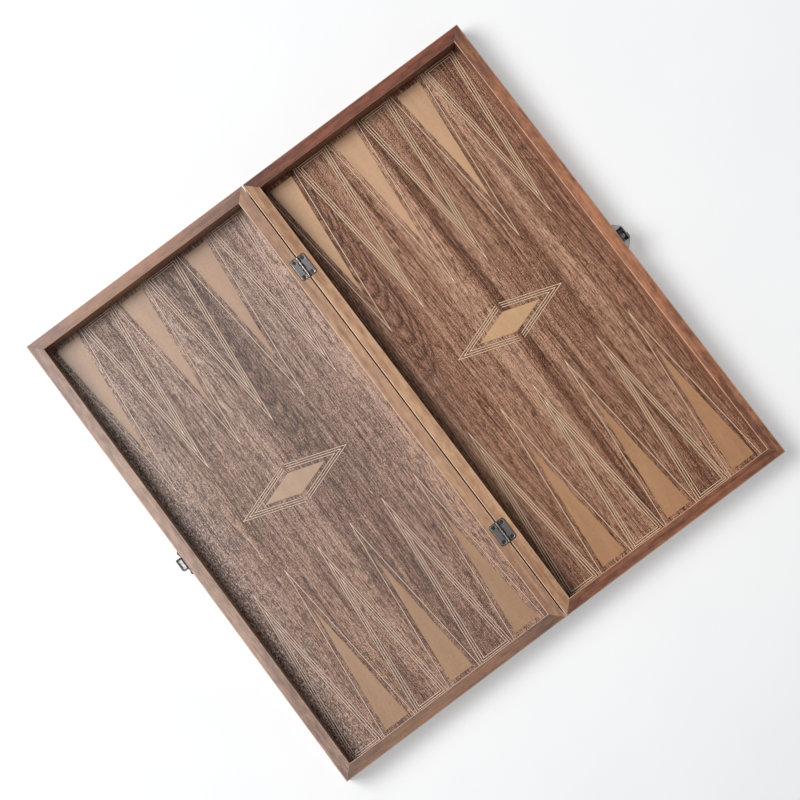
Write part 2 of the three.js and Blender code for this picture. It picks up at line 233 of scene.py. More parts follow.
def arc(centre, radius, start, end, steps=CORNER_STEPS):
    """Points on an arc, with its angles in degrees."""
    angles = [math.radians(start + (end - start) * i / steps) for i in range(steps + 1)]
    return [(centre[0] + radius * math.cos(a), centre[1] + radius * math.sin(a)) for a in angles]


def circle(radius, centre=(0, 0)):
    return arc(centre, radius, 0, 360, ROUND_SIDES)[:-1]


def turned(profile, axis="Z"):
    """A lathe-turned solid: (radius, height) from its lowest ring to its highest, closed by flat ends."""
    order = {"X": (2, 1, 0), "Y": (0, 2, 1), "Z": (0, 1, 2)}[axis]
    rings = [[[(*p, height)[i] for i in order] for p in circle(radius)] for radius, height in profile]
    return joined_rings(rings)


def moved(mesh, offset=(0, 0, 0), turn=0):
    """The mesh turned about Z, in degrees, and then shifted."""
    mesh.transform(Matrix.Translation(offset) @ Matrix.Rotation(math.radians(turn), 4, "Z"))
    return mesh


def merged(*meshes):
    """One mesh that holds separate closed shapes."""
    shape = bmesh.new()
    for mesh in meshes:
        shape.from_mesh(mesh)
    whole = bpy.data.meshes.new("shape")
    shape.to_mesh(whole)
    shape.free()
    return whole


def placed(name, data):
    """A new object in the scene."""
    thing = bpy.data.objects.new(name, data)
    bpy.context.scene.collection.objects.link(thing)
    return thing


def modified(mesh, kind, **settings):
    """The mesh after one modifier."""
    holder = placed("holder", mesh)
    modifier = holder.modifiers.new(kind, kind)
    for name, value in settings.items():
        setattr(modifier, name, value)
    evaluated = holder.evaluated_get(bpy.context.evaluated_depsgraph_get())
    result = bpy.data.meshes.new_from_object(evaluated)
    bpy.data.objects.remove(holder)
    return result


def combined(base, tool, operation):
    holder = placed("tool", tool)
    result = modified(base, "BOOLEAN", object=holder, operation=operation, solver="EXACT")
    bpy.data.objects.remove(holder)
    return result


def fused(first, *others):
    whole = first
    for other in others:
        whole = combined(whole, other, "UNION")
    return whole


def cut(mesh, *tools):
    for tool in tools:
        mesh = combined(mesh, tool, "DIFFERENCE")
    return mesh


def eased(mesh, width_at, segments=2, sharpest=30):
    """Rounds each edge that turns by more than `sharpest` degrees, as wide as width_at(its two ends)."""
    shape = bmesh.new()
    shape.from_mesh(mesh)
    bmesh.ops.dissolve_limit(shape, angle_limit=math.radians(1), verts=shape.verts, edges=shape.edges)
    weights = shape.edges.layers.float.new("bevel_weight_edge")
    for edge in shape.edges:
        if len(edge.link_faces) == 2 and edge.calc_face_angle() > math.radians(sharpest):
            edge[weights] = width_at(edge.verts[0].co, edge.verts[1].co)
    shape.to_mesh(mesh)
    shape.free()
    return modified(
        mesh, "BEVEL", width=1.0, segments=segments, limit_method="WEIGHT",
        use_clamp_overlap=True, miter_outer="MITER_ARC", loop_slide=True,
    )


def evenly(width):
    return lambda start, end: width


def add_piece(name, mesh, body, material, replaced=None):
    """A finished piece that rides on a body. The mesh is in millimetres about the origin of the frame."""
    mesh.transform(Matrix.Scale(MM, 4))
    mesh.polygons.foreach_set("use_smooth", [True] * len(mesh.polygons))
    mesh.set_sharp_from_angle(angle=math.radians(SHARP_EDGE))
    mesh.materials.clear()
    mesh.materials.append(material)
    piece = placed(name, mesh)
    weighted = piece.modifiers.new("even_shading", "WEIGHTED_NORMAL")
    weighted.keep_sharp = True
    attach(piece, body)
    if replaced:
        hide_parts(replaced)
    return piece


def repaint(node, material):
    """Gives a CAD node that keeps its own shape a better material."""
    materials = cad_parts[node].data.materials
    materials.clear()
    materials.append(material)


def box_mm(node):
    low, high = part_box(node)
    return low / MM, high / MM


def centre_mm(node):
    low, high = box_mm(node)
    return (low + high) / 2


def length_mm(node):
    low, high = box_mm(node)
    return high.y - low.y


# ---- Materials ----

# Clear varnish, as settings of the shader. The walnut fields have less of it than the rest.
VARNISH = {
    "left": {"Coat_Weight": 1.0, "Coat_Roughness": 0.38},
    "right": {"Coat_Weight": 0.6, "Coat_Roughness": 0.3, "Specular_IOR_Level": 0.3},
}
FIELD_VARNISH = {
    "left": {"Coat_Weight": 0.7, "Coat_Roughness": 0.38, "Specular_IOR_Level": 0.45},
    "right": {"Coat_Weight": 0.25, "Coat_Roughness": 0.3, "Specular_IOR_Level": 0.15},
}


def tint(red, green, blue):
    """A screen colour of 0 to 255 as the linear colour that shaders use."""
    channels = [value / 255 for value in (red, green, blue)]
    linear = [c / 12.92 if c <= 0.04045 else ((c + 0.055) / 1.055) ** 2.4 for c in channels]
    return (*linear, 1)


class Finish:
    """One material, built node by node. Most methods return the socket with their result."""

    def __init__(self, name, **surface):
        self.material = bpy.data.materials.new(name)
        self.material.use_nodes = True
        self.tree = self.material.node_tree
        self.shader = self.tree.nodes["Principled BSDF"]
        for socket, value in surface.items():
            self.shader.inputs[socket.replace("_", " ")].default_value = value
        place = self.add("ShaderNodeTexCoord").outputs["Object"]
        self.place = self.scaled(place, (1 / MM, 1 / MM, 1 / MM))

    def add(self, kind, inputs=(), **settings):
        node = self.tree.nodes.new(kind)
        for name, value in settings.items():
            setattr(node, name, value)
        for socket, value in dict(inputs).items():
            self.feed(node.inputs[socket], value)
        return node

    def feed(self, socket, value):
        if isinstance(value, bpy.types.NodeSocket):
            self.tree.links.new(value, socket)
        else:
            socket.default_value = value

    def scaled(self, vector, factors):
        return self.add("ShaderNodeVectorMath", {0: vector, 1: factors}, operation="MULTIPLY").outputs[0]

    def axes(self):
        split = self.add("ShaderNodeSeparateXYZ", {0: self.place})
        return split.outputs[0], split.outputs[1], split.outputs[2]

    def math(self, operation, first, second=0.0):
        return self.add("ShaderNodeMath", {0: first, 1: second}, operation=operation).outputs[0]

    def spread(self, value, low, high, to_low=0.0, to_high=1.0):
        """The value from low to high, clamped, as to_low to to_high."""
        inputs = {"Value": value, "From Min": low, "From Max": high, "To Min": to_low, "To Max": to_high}
        return self.add("ShaderNodeMapRange", inputs).outputs["Result"]

    def cloud(self, seed, across, along, grain="Y", detail=2, roughness=0.5, warp=0.0, place=None):
        """Noise from 0 to 1, with the size of its features across and along the grain."""
        sizes = (1 / along, 1 / across, 1 / across) if grain == "X" else (1 / across, 1 / along, 1 / across)
        stretched = self.scaled(place or self.place, sizes)
        shift = (seed * 17.3, seed * 9.7, seed * 5.1)
        shifted = self.add("ShaderNodeVectorMath", {0: stretched, 1: shift}, operation="ADD").outputs[0]
        inputs = {"Vector": shifted, "Scale": 1, "Detail": detail, "Roughness": roughness, "Distortion": warp}
        return self.add("ShaderNodeTexNoise", inputs).outputs["Fac"]

    def layer(self, seed, across, along, used=(0.3, 0.7), result=(0, 1), **noise):
        """A cloud, with the used part of its range clamped and turned into the result's range."""
        return self.spread(self.cloud(seed, across, along, **noise), *used, *result)

    def layers(self, first_seed, kinds, **shared):
        """One layer for each kind, each with the next seed."""
        return [self.layer(first_seed + step, **kind, **shared) for step, kind in enumerate(kinds.values())]

    def ramp(self, value, stops):
        """stops: (position, grey value or colour)."""
        node = self.add("ShaderNodeValToRGB", {0: value})
        elements = node.color_ramp.elements
        while len(elements) < len(stops):
            elements.new(0.5)
        for element, (position, shade) in zip(elements, stops):
            element.position = position
            element.color = shade if isinstance(shade, tuple) else (shade, shade, shade, 1)
        return node.outputs[0]

    def mix(self, share, first, second, blend="MIX"):
        node = self.add("ShaderNodeMix", data_type="RGBA", blend_type=blend)
        self.feed(node.inputs["Factor"], share)
        self.feed(node.inputs[6], first)
        self.feed(node.inputs[7], second)
        return node.outputs[2]

    def chained(self, operation, values):
        whole = values[0]
        for value in values[1:]:
            whole = self.math(operation, whole, value)
        return whole

    def product(self, *factors):
        return self.chained("MULTIPLY", factors)

    def total(self, *terms):
        return self.chained("ADD", terms)

    def colour(self, value):
        self.feed(self.shader.inputs["Base Color"], value)

    def roughness(self, value):
        self.feed(self.shader.inputs["Roughness"], value)

    def bump(self, height, depth_mm, varnish_share=1.0):
        """Relief under the varnish, and the share of its depth that the varnish still shows."""
        for socket, share in (("Normal", 1.0), ("Coat Normal", varnish_share)):
            relief = self.add("ShaderNodeBump", {"Height": height, "Distance": depth_mm * share * MM})
            self.feed(self.shader.inputs[socket], relief.outputs["Normal"])


# Layers of noise. across, along: the size of their features in millimetres. used: the part of the noise's
# range that counts. result: what that part becomes, here a step on the wood's scale of colours from 0 to 1.

WALNUT = [
    (0.00, tint(62, 34, 20)),
    (0.28, tint(108, 70, 48)),
    (0.52, tint(150, 114, 94)),
    (0.76, tint(182, 148, 126)),
    (1.00, tint(208, 176, 154)),
]
WALNUT_LAYERS = {
    "growth": dict(across=4, along=420, used=(0.25, 0.75), result=(-0.1, 0.1)),
    "streaks": dict(across=1.3, along=300, detail=1, used=(0.25, 0.75), result=(-0.11, 0.11)),
    "lines": dict(across=0.8, along=110, detail=1, roughness=0.6, used=(0.55, 0.63), result=(0, -0.32)),
    "fibres": dict(across=0.6, along=15, roughness=0.75, result=(-0.25, 0.25)),
}
GRIT = dict(across=0.7, along=1.2, detail=1, used=(0.25, 0.75), result=(-0.4, 0.4))
WANDER = dict(across=34, along=230, detail=1, used=(0.2, 0.8), result=(-4, 4))  # millimetres sideways
LEAF_BLEND = (0.8, 0.5)  # shares of the near and far half lengths between which a leaf's tint changes
SMOKE = dict(across=22, along=100, used=(0.45, 0.7), result=(0, 0.35))
SMOKE_COLOUR = tint(218, 206, 206)

ARCH_CURVE = 2.3
ARCH_WAVES = dict(across=24, along=60, used=(0.2, 0.8), result=(-9, 9))  # millimetres along
ARCH_TONES = [(0, 1.0), (0.12, 0.6), (0.45, 0.0), (0.8, 0.1), (1, 1.0)]
ARCH_FADE = (0.9, 1.9)  # in half widths from the axis
ARCH_START = (-10, 4)

PORE_COLOUR = tint(48, 26, 14)
PORE_CROWDING = dict(across=5, along=120, result=(0.05, -0.05))
PORE_DASHES = dict(across=0.8, along=9, detail=1, roughness=0.6)
PORE_RANGE = (0.56, 0.65)
PORE_STRENGTH = 0.7

# Painted glints: pale and dark specks beside the rail of lowest X, standing in for the varnish glinting over
# the pores in the rail's half shade.
GLINT_SHARE = {"left": 0.8, "right": 0.1}
GLINT_REACH = (8, 44)  # millimetres from the field's edge
GLINT_COLOUR = tint(222, 210, 206)
GLINT_NOISE = dict(across=0.9, along=2.6, detail=1)
GLINT_THRESHOLDS = ((0.54, PORE_COLOUR), (0.58, GLINT_COLOUR))
GLINT_SOFTNESS = 0.06

FIELD_RELIEF = {"left": 0.14, "right": 0.08}
FIELD_ROUGHNESS = (0.5, 0.6)


def walnut_flame(finish, bent_x, y, flame, seed):
    """The tone of a cathedral flame: arches that follow one another along its axis."""
    off_axis = finish.math("ABSOLUTE", finish.math("SUBTRACT", bent_x, flame["x"]))
    arch = finish.math("POWER", finish.math("DIVIDE", off_axis, flame["half_width"]), ARCH_CURVE)
    height = finish.math("SUBTRACT", y, flame["y"])
    climb = finish.total(height, finish.product(arch, -flame["rise"]), finish.layer(seed, **ARCH_WAVES))
    ring = finish.math("FRACT", finish.math("DIVIDE", climb, flame["spacing"]))
    fade_start, fade_end = (flame["half_width"] * share for share in ARCH_FADE)
    near_axis = finish.spread(off_axis, fade_start, fade_end, 1, 0)
    started = finish.spread(climb, *ARCH_START)
    return finish.product(finish.ramp(ring, ARCH_TONES), near_axis, started, -flame["depth"])


def walnut_pores(finish, bent, seed):
    """Where the pores are: short dashes along the grain, crowded in some bands."""
    crowding = finish.layer(seed, place=bent, **PORE_CROWDING)
    dashes = finish.cloud(seed + 1, place=bent, **PORE_DASHES)
    return finish.spread(finish.total(dashes, crowding), *PORE_RANGE)


def walnut_glints(finish, wood, tray, from_edge, seed):
    """Painted glints and dark specks of painted shade along the field's edge of lowest X, beside the rail."""
    beside_rail = finish.spread(from_edge, *GLINT_REACH, GLINT_SHARE[tray], 0)
    for step, (threshold, shade) in enumerate(GLINT_THRESHOLDS):
        noise = finish.cloud(seed + step, **GLINT_NOISE)
        specks = finish.spread(noise, threshold, threshold + GLINT_SOFTNESS)
        wood = finish.mix(finish.product(specks, beside_rail), wood, shade)
    return wood


def walnut_field(name, tray, bands, flame, seed, leaf):
    """Flat-sawn walnut veneer.

    bands: (share of the tray's width, tone). flame: its axis and lowest arch in millimetres. leaf: the tint
    of this leaf of veneer against the others, at its near and far ends; on the left tray its greyer, bluer
    cast, strongest towards the far end, is painted glare of the varnish.
    """
    low, high = box_mm(f"{tray}_field_veneer")
    finish = Finish(name, **FIELD_VARNISH[tray])
    x, y, z = finish.axes()
    bent_x = finish.total(x, finish.layer(seed, **WANDER))
    bent = finish.add("ShaderNodeCombineXYZ", {0: bent_x, 1: y, 2: z}).outputs[0]
    tone = finish.ramp(finish.spread(bent_x, low.x, high.x), bands)
    flame_tone = walnut_flame(finish, bent_x, y, flame, seed + 1)
    growth, streaks, lines, fibres = finish.layers(seed + 2, WALNUT_LAYERS, place=bent)
    grit = finish.layer(seed + 6, **GRIT)
    wood = finish.ramp(finish.total(tone, flame_tone, growth, streaks, lines, fibres, grit), WALNUT)

    far_share = finish.spread(y, low.y * LEAF_BLEND[0], high.y * LEAF_BLEND[1])
    # The leaf's tint, on the left tray partly painted glare.
    wood = finish.mix(1.0, wood, finish.mix(far_share, *leaf), "MULTIPLY")
    wood = finish.mix(finish.layer(seed + 7, **SMOKE), wood, SMOKE_COLOUR, "MULTIPLY")
    pores = walnut_pores(finish, bent, seed + 8)
    wood = finish.mix(finish.product(pores, PORE_STRENGTH), wood, PORE_COLOUR)
    from_edge = finish.math("SUBTRACT", x, low.x)
    # Painted glints and shade specks beside the rail.
    finish.colour(walnut_glints(finish, wood, tray, from_edge, seed + 10))
    finish.roughness(finish.spread(fibres, *WALNUT_LAYERS["fibres"]["result"], *FIELD_ROUGHNESS))
    relief = finish.total(finish.product(pores, -1), fibres, finish.product(grit, 0.5))
    finish.bump(relief, FIELD_RELIEF[tray])
    return finish.material


RAIL_LAYERS = {
    "broad": dict(across=5, along=110, warp=0.3, result=(0.0, 0.6)),
    "mottle": dict(across=5, along=12, detail=3, roughness=0.6, result=(-0.1, 0.5)),
    "fibres": dict(across=1.1, along=22, detail=3, roughness=0.65, used=(0.25, 0.75), result=(-0.2, 0.5)),
    "flecks": dict(across=0.8, along=5, detail=1, used=(0.66, 0.75), result=(0, 0.4)),
}
RAIL_ENDS = (0.2, 0.5)  # shares of the length, from the middle, between which a rail darkens
RAIL_END_TONE = -0.4
RAIL_FLECK_COLOUR = tint(70, 44, 34)
RAIL_RELIEF = 0.03
# The eased edges at the rim get a painted highlight: a paler line that stands in for light catching them.
HIGHLIGHT_BELOW_RIM = (0.01, 0.06)  # millimetres below the rim between which the painted edge highlight starts
HIGHLIGHT_ABOVE_FOOT = (0.3, 0.6)
EDGE_HIGHLIGHT_COLOUR = tint(244, 208, 180)


def rail_wood(name, tray, grain, tones, seed, span, wear_and_highlight):
    """Close-grained hardwood moulding: mottled streaks along the grain, darker towards the rail's ends.

    span: the rail's two ends along the grain. The last argument: how strongly its eased edges are painted
    paler, a painted highlight for light catching them.
    """
    light, dark = (tint(*tone) for tone in tones)
    finish = Finish(name, **VARNISH[tray])
    x, y, z = finish.axes()
    middle, length = (span[0] + span[1]) / 2, span[1] - span[0]
    from_middle = finish.math("ABSOLUTE", finish.math("SUBTRACT", x if grain == "X" else y, middle))
    ends = finish.spread(from_middle, length * RAIL_ENDS[0], length * RAIL_ENDS[1], 0, RAIL_END_TONE)
    broad, mottle, fibres, flecks = finish.layers(seed, RAIL_LAYERS, grain=grain)
    wood = finish.ramp(finish.total(broad, mottle, fibres, ends), [(0.1, dark), (1.0, light)])
    below_rim = finish.math("SUBTRACT", RIM / MM, z)
    below_top = finish.spread(below_rim, *HIGHLIGHT_BELOW_RIM)
    above_foot = finish.spread(below_rim, *HIGHLIGHT_ABOVE_FOOT, 1, 0)
    # Painted highlight along the eased edges.
    wood = finish.mix(finish.product(below_top, above_foot, wear_and_highlight), wood, EDGE_HIGHLIGHT_COLOUR)
    finish.colour(finish.mix(flecks, wood, RAIL_FLECK_COLOUR))
    finish.roughness(finish.spread(fibres, 0, 0.4, 0.5, 0.6))
    finish.bump(finish.total(fibres, finish.product(flecks, -0.5)), RAIL_RELIEF)
    return finish.material


VENEER_LAYERS = {
    "broad": dict(across=9, along=60, result=(0.0, 0.5)),
    "ripple": dict(across=6, along=2.5, result=(0.0, 0.2)),
    "fibres": dict(across=0.8, along=7, detail=3, roughness=0.65, used=(0.25, 0.75), result=(0.0, 0.35)),
    "flecks": dict(across=0.7, along=4, detail=1, used=(0.68, 0.76), result=(0, 0.35)),
}
VENEER_FLECK_COLOUR = tint(120, 84, 60)
VENEER_ROUGHNESS = (0.4, 0.52)
VENEER_RELIEF = 0.16


def light_veneer(name, tray, tones, seed):
    """Pale, nearly plain veneer with a faint ripple across its grain and a few brown flecks."""
    light, dark = (tint(*tone) for tone in tones)
    finish = Finish(name, **VARNISH[tray])
    broad, ripple, fibres, flecks = finish.layers(seed, VENEER_LAYERS)
    wood = finish.ramp(finish.total(broad, ripple, fibres), [(0.1, dark), (0.9, light)])
    finish.colour(finish.mix(flecks, wood, VENEER_FLECK_COLOUR))
    finish.roughness(finish.spread(fibres, *VENEER_LAYERS["fibres"]["result"], *VENEER_ROUGHNESS))
    finish.bump(finish.total(fibres, finish.product(flecks, -0.5)), VENEER_RELIEF, varnish_share=0.7)
    return finish.material


def glue_line(name):
    """The dark line of glue and bruised fibres that an inlay leaves at its edges."""
    finish = Finish(name, Roughness=0.5)
    noise = finish.cloud(4, across=1, along=6)
    finish.colour(finish.ramp(noise, [(0.3, tint(60, 34, 22)), (0.7, tint(92, 58, 40))]))
    return finish.material


PLY_SHEETS_PER_MM = 0.42
PLY_SEAM = (0.88, 0.95)  # shares of a sheet's thickness between which the glue seam starts
PLY_RELIEF = 0.03


def plywood(name):
    """Raw birch ply: pale sheets with darker glue seams between them."""
    finish = Finish(name, Roughness=0.8)
    _, _, z = finish.axes()
    sheet = finish.math("FRACT", finish.product(z, PLY_SHEETS_PER_MM))
    fibres = finish.cloud(3, across=0.9, along=18, detail=3, roughness=0.6)
    wood = finish.ramp(fibres, [(0.2, tint(158, 122, 84)), (0.8, tint(206, 172, 128))])
    seam = finish.spread(sheet, *PLY_SEAM, 0, 0.5)
    finish.colour(finish.mix(seam, wood, tint(110, 76, 48)))
    finish.bump(fibres, PLY_RELIEF)
    return finish.material


TARNISH = dict(across=1.6, along=2.4, detail=4, roughness=0.6)
BRUSHING = dict(across=0.09, along=3, roughness=0.6)
PITS = dict(across=0.25, along=0.3, used=(0.66, 0.74))
WORN_SPOTS = dict(across=0.8, along=1.2, detail=3, used=(0.55, 0.7))
WORN_COLOUR = tint(190, 184, 178)
PIT_COLOUR = tint(28, 26, 26)
METAL_RELIEF = 0.006


def plated_metal(name, light, dark, roughness, seed, wear_and_highlight):
    """Plated metal: cloudy tarnish, fine brushing and a scatter of small pits."""
    finish = Finish(name, Metallic=1.0)
    tarnish = finish.layer(seed, **TARNISH)
    brushing = finish.cloud(seed + 1, **BRUSHING)
    pits = finish.layer(seed + 2, **PITS)
    worn = finish.layer(seed + 3, result=(0, wear_and_highlight), **WORN_SPOTS)
    metal = finish.mix(worn, finish.ramp(tarnish, [(0.0, dark), (1.0, light)]), WORN_COLOUR)
    finish.colour(finish.mix(finish.product(pits, 0.5), metal, PIT_COLOUR))
    cloudy = finish.spread(tarnish, 0, 1, roughness, roughness - 0.1)
    finish.roughness(finish.total(cloudy, finish.spread(brushing, 0.3, 0.7, 0, 0.08)))
    finish.bump(finish.math("SUBTRACT", brushing, pits), METAL_RELIEF)
    return finish.material


METALS = {
    name: plated_metal(name, tint(*light), tint(*dark), roughness, seed, wear_and_highlight)
    for name, light, dark, roughness, seed, wear_and_highlight in (
        ("hinge_metal", (142, 137, 136), (100, 95, 95), 0.34, 3, 0.2),
        ("screw_metal", (84, 78, 80), (48, 44, 46), 0.34, 7, 0.2),
        ("keeper_metal", (92, 88, 88), (52, 48, 48), 0.36, 11, 0.2),
        # The shelf's pale metal is a painted highlight, as the shelf is part of the dark keeper pressing.
        ("pale_lit_shelf_metal", (196, 194, 190), (170, 168, 163), 0.55, 12, 0.0),
        ("case_metal", (184, 180, 178), (120, 116, 116), 0.5, 13, 0.3),
        ("button_metal", (48, 46, 46), (30, 28, 28), 0.42, 15, 0.1),
        ("bright_steel", (222, 218, 212), (188, 184, 178), 0.3, 19, 0.0),
    )
}

TABLE_GLOW = 0.36
TABLE_DIMMING = (-560, -280)  # where the glow fades towards the near side, in millimetres
SEAM_SHADE = (3, 10)  # millimetres from the hinge line between which the glow starts
SHADE_PAST_ENDS = (-8, -2)  # the same along the hinge line, from the end of the trays


def tabletop(name):
    """Matt white table with a painted glow, as if lit through from below, that lifts the shadows on it. The
    glow is left out along the seam and dims a little towards the near side.
    """
    finish = Finish(name, Roughness=0.7, Emission_Color=(1, 1, 1, 1))
    uneven = finish.cloud(2, across=90, along=90, detail=3)
    finish.colour(finish.ramp(uneven, [(0.2, tint(204, 204, 205)), (0.8, tint(208, 208, 208))]))
    finish.bump(finish.cloud(5, across=1.5, along=1.5), 0.004)
    x, y, _ = finish.axes()
    end = cad_box[1].y / MM
    beside_seam = finish.spread(finish.math("ABSOLUTE", x), *SEAM_SHADE)
    past_ends = finish.spread(finish.math("ABSOLUTE", y), *(end + step for step in SHADE_PAST_ENDS))
    dimming = finish.spread(y, *TABLE_DIMMING, TABLE_GLOW * 0.8, TABLE_GLOW)
    glow = finish.product(finish.math("MAXIMUM", beside_seam, past_ends), dimming)
    finish.feed(finish.shader.inputs["Emission Strength"], glow)
    return finish.material


# ---- Trays ----

RAIL_TONES = {
    "left_near": ((142, 94, 60), (92, 52, 32)),
    "left_far": ((162, 110, 78), (110, 68, 46)),
    "left_outer": ((182, 146, 124), (118, 82, 66)),
    "left_hinge": ((190, 143, 104), (140, 94, 62)),
    "right_near": ((154, 96, 66), (94, 50, 32)),
    "right_far": ((146, 82, 56), (88, 42, 28)),
    "right_outer": ((192, 128, 92), (106, 62, 42)),
    "right_hinge": ((204, 160, 122), (154, 108, 76)),
}
# How strongly each rail's eased edges get the painted highlight.
EDGE_HIGHLIGHT_SHARE = {"near": 0.5, "far": 0.2, "outer": 0.5, "hinge": 0.7}


def rail_profile():
    """The rail's section: depth inwards from its outer face, and height."""
    thickness, rim, rebate, shelf = (v / MM for v in (RAIL_THICKNESS, RIM, REBATE, CORE_TOP))
    foot = thickness - rebate
    return [(0, 0), (foot, 0), (foot, shelf), (thickness, shelf), (thickness, rim), (0, rim)]


def leaf_outline(start, margin):
    """A hinge leaf from start outwards, with its two outer corners rounded, and a margin all round."""
    half = LEAF_HALF_LENGTH + margin
    corner = LEAF_REACH + margin - LEAF_CORNER
    near_corner = arc((corner, LEAF_CORNER - half), LEAF_CORNER, -90, 0)
    far_corner = arc((corner, half - LEAF_CORNER), LEAF_CORNER, 0, 90)
    return [(start, -half), *near_corner, *far_corner, (start, half)]


def hinge_pocket(y, side):
    """What a hinge needs removed from the rail on one side of the seam."""
    pocket = prism(leaf_outline(-CUT_MARGIN, POCKET_MARGIN), -LEAF_THICKNESS - FIT, CUT_MARGIN)
    notch_reach, notch_depth = BARREL_NOTCH
    notch_half = LEAF_HALF_LENGTH + KNUCKLE_GAP
    notch = block((-CUT_MARGIN, -notch_half, -notch_depth), (notch_reach, notch_half, CUT_MARGIN))
    place = (0, y, RIM / MM)
    return [moved(tool, place, 90 - 90 * side) for tool in (pocket, notch)]


def rail_ease(start, end):
    """How far each edge of a rail is rounded, by where the edge lies."""
    at_rim = [abs(p.z - RIM / MM) < SAME_PLACE for p in (start, end)]
    along_rail = abs(start.x - end.x) < SAME_PLACE or abs(start.y - end.y) < SAME_PLACE
    if along_rail and all(at_rim):
        return RIM_EASE
    if along_rail and max(start.z, end.z) < SAME_PLACE:
        return FOOT_EASE
    return MITRE_EASE if any(at_rim) else 0.0


def build_rail(tray, place):
    """One mitred moulding. Its section is drawn at both ends, each point as far in as it is deep."""
    low, high = box_mm(f"{tray}_{place}_rail")
    along_x = place in ENDS
    outward = ENDS[place] if along_x else (SIDES[tray] if place == "outer" else -SIDES[tray])
    along, across = (0, 1) if along_x else (1, 0)
    outer_face = high[across] if outward > 0 else low[across]

    def corner(end, depth, height):
        point = [0, 0, height]
        point[along] = low[along] + depth if end < 0 else high[along] - depth
        point[across] = outer_face - outward * depth
        return point

    rings = [[corner(end, depth, height) for depth, height in rail_profile()] for end in (-1, 1)]
    rail = eased(joined_rings(rings), rail_ease, segments=3)
    if place == "hinge":
        for y in HINGE_CENTRES:
            rail = cut(rail, *hinge_pocket(y, SIDES[tray]))
    node = f"{tray}_{place}_rail"
    seed = 3 + 2 * list(RAIL_TONES).index(f"{tray}_{place}")
    tones = RAIL_TONES[f"{tray}_{place}"]
    span = (low[along], high[along])
    wood = rail_wood(f"{node}_wood", tray, "X" if along_x else "Y", tones, seed, span, EDGE_HIGHLIGHT_SHARE[place])
    add_piece(f"{node}_moulding", rail, f"{tray}_half", wood, node)


# ---- Marquetry ----

TRAY_SEEDS = {"left": 21, "right": 47}
STRINGING_SEED = 61
FIELD_BANDS = {
    "left": [
        (0, 0.52), (0.09, 0.6), (0.2, 0.52), (0.27, 0.4), (0.33, 0.62), (0.38, 0.44), (0.45, 0.66),
        (0.5, 0.64), (0.54, 0.42), (0.66, 0.38), (0.8, 0.52), (0.92, 0.56), (0.97, 0.74), (1, 0.66),
    ],
    "right": [
        (0, 0.48), (0.08, 0.55), (0.16, 0.4), (0.24, 0.56), (0.34, 0.6), (0.45, 0.7), (0.485, 0.28),
        (0.53, 0.56), (0.7, 0.5), (0.75, 0.36), (0.79, 0.6), (0.84, 0.74), (0.87, 0.44), (1, 0.46),
    ],
}
OUTSIDE_BANDS = [(0, 0.42), (0.3, 0.56), (0.5, 0.4), (0.7, 0.58), (1, 0.44)]
OUTSIDE_FLAME = {"y": -120, "half_width": 22}
OUTSIDE_SEED_STEP = 9
# Tints of each leaf at its near and far ends. On the left tray they also carry painted glare: the greyer,
# bluer cast, strongest towards the far end, stands in for the varnish reflecting the light.
LEAF_TINTS_WITH_GLARE = {
    "left": ((1.02, 0.93, 0.84, 1), (1.02, 1.06, 1.12, 1)),
    "right": ((1.12, 0.99, 0.88, 1), (1.22, 1.1, 1.01, 1)),
}
# The left tray's stringing is greyer and less warm than the right's, partly as painted glare of the varnish
# over it.
STRINGING_TONES = {
    "left": ((246, 214, 188), (222, 190, 166)),
    "right": ((255, 222, 184), (248, 208, 168)),
}
INLAY_TONES = {
    "left_far_point": ((178, 138, 106), (160, 122, 92)),
    "left_near_point": ((174, 132, 95), (156, 116, 80)),
    "left_diamond": ((184, 148, 118), (170, 134, 105)),
    "right_far_point": ((210, 166, 128), (190, 148, 112)),
    "right_near_point": ((188, 141, 100), (168, 122, 84)),
    "right_diamond": ((212, 168, 126), (196, 152, 110)),
}
FLAMES = {
    "left": {"x": -96, "y": 20, "half_width": 12, "rise": 34, "spacing": 17, "depth": 0.3},
    "right": {"x": 39, "y": 2, "half_width": 14, "rise": 34, "spacing": 18, "depth": 0.3},
}


def strip(corners_at, closed, spread, proud):
    """A thin line let into the veneer, with its top proud of the field and its sides widened by spread.

    corners_at: the line's corners at some distance in from its outer edge.
    """
    outer, inner = corners_at(-spread), corners_at(LINE_WIDTH + spread)
    top = FIELD_TOP / MM + proud
    bottom = top - LINE_DEPTH
    count = len(outer)
    vertices = [(x, y, z) for z in (top, bottom) for x, y in (*outer, *inner)]
    faces = []
    for i in range(count if closed else count - 1):
        j = (i + 1) % count
        a, b, c, d = i, j, count + j, count + i
        below = 2 * count
        faces += [(a, b, c, d), (a + below, d + below, c + below, b + below)]
        faces += [(a, a + below, b + below, b), (d, c, c + below, d + below)]
    if not closed:
        last = count - 1
        faces.append((0, count, 3 * count, 2 * count))
        faces.append((last, 3 * count - 1, 4 * count - 1, 2 * count - 1))
    return mesh_from(vertices, faces)


def open_line(x, end, rail_y, spread, proud):
    """The long V that runs from the rail to its tip."""

    def legs(inset):
        half = LINE_SLOPE * (rail_y - OPEN_LINE_TIP) - inset
        point = OPEN_LINE_TIP + inset / LINE_SLOPE
        return [(x - half, end * rail_y), (x, end * point), (x + half, end * rail_y)]

    return strip(legs, False, spread, proud)


def closed_line(x, end, rail_y, spread, proud, tip, base_inset, slope):
    """A narrow triangle inside the V, with a base line near the rail."""

    def triangle(inset):
        base = rail_y - base_inset - inset
        point = tip + inset / slope
        half = slope * (base - point)
        return [(x - half, end * base), (x, end * point), (x + half, end * base)]

    return strip(triangle, True, spread, proud)


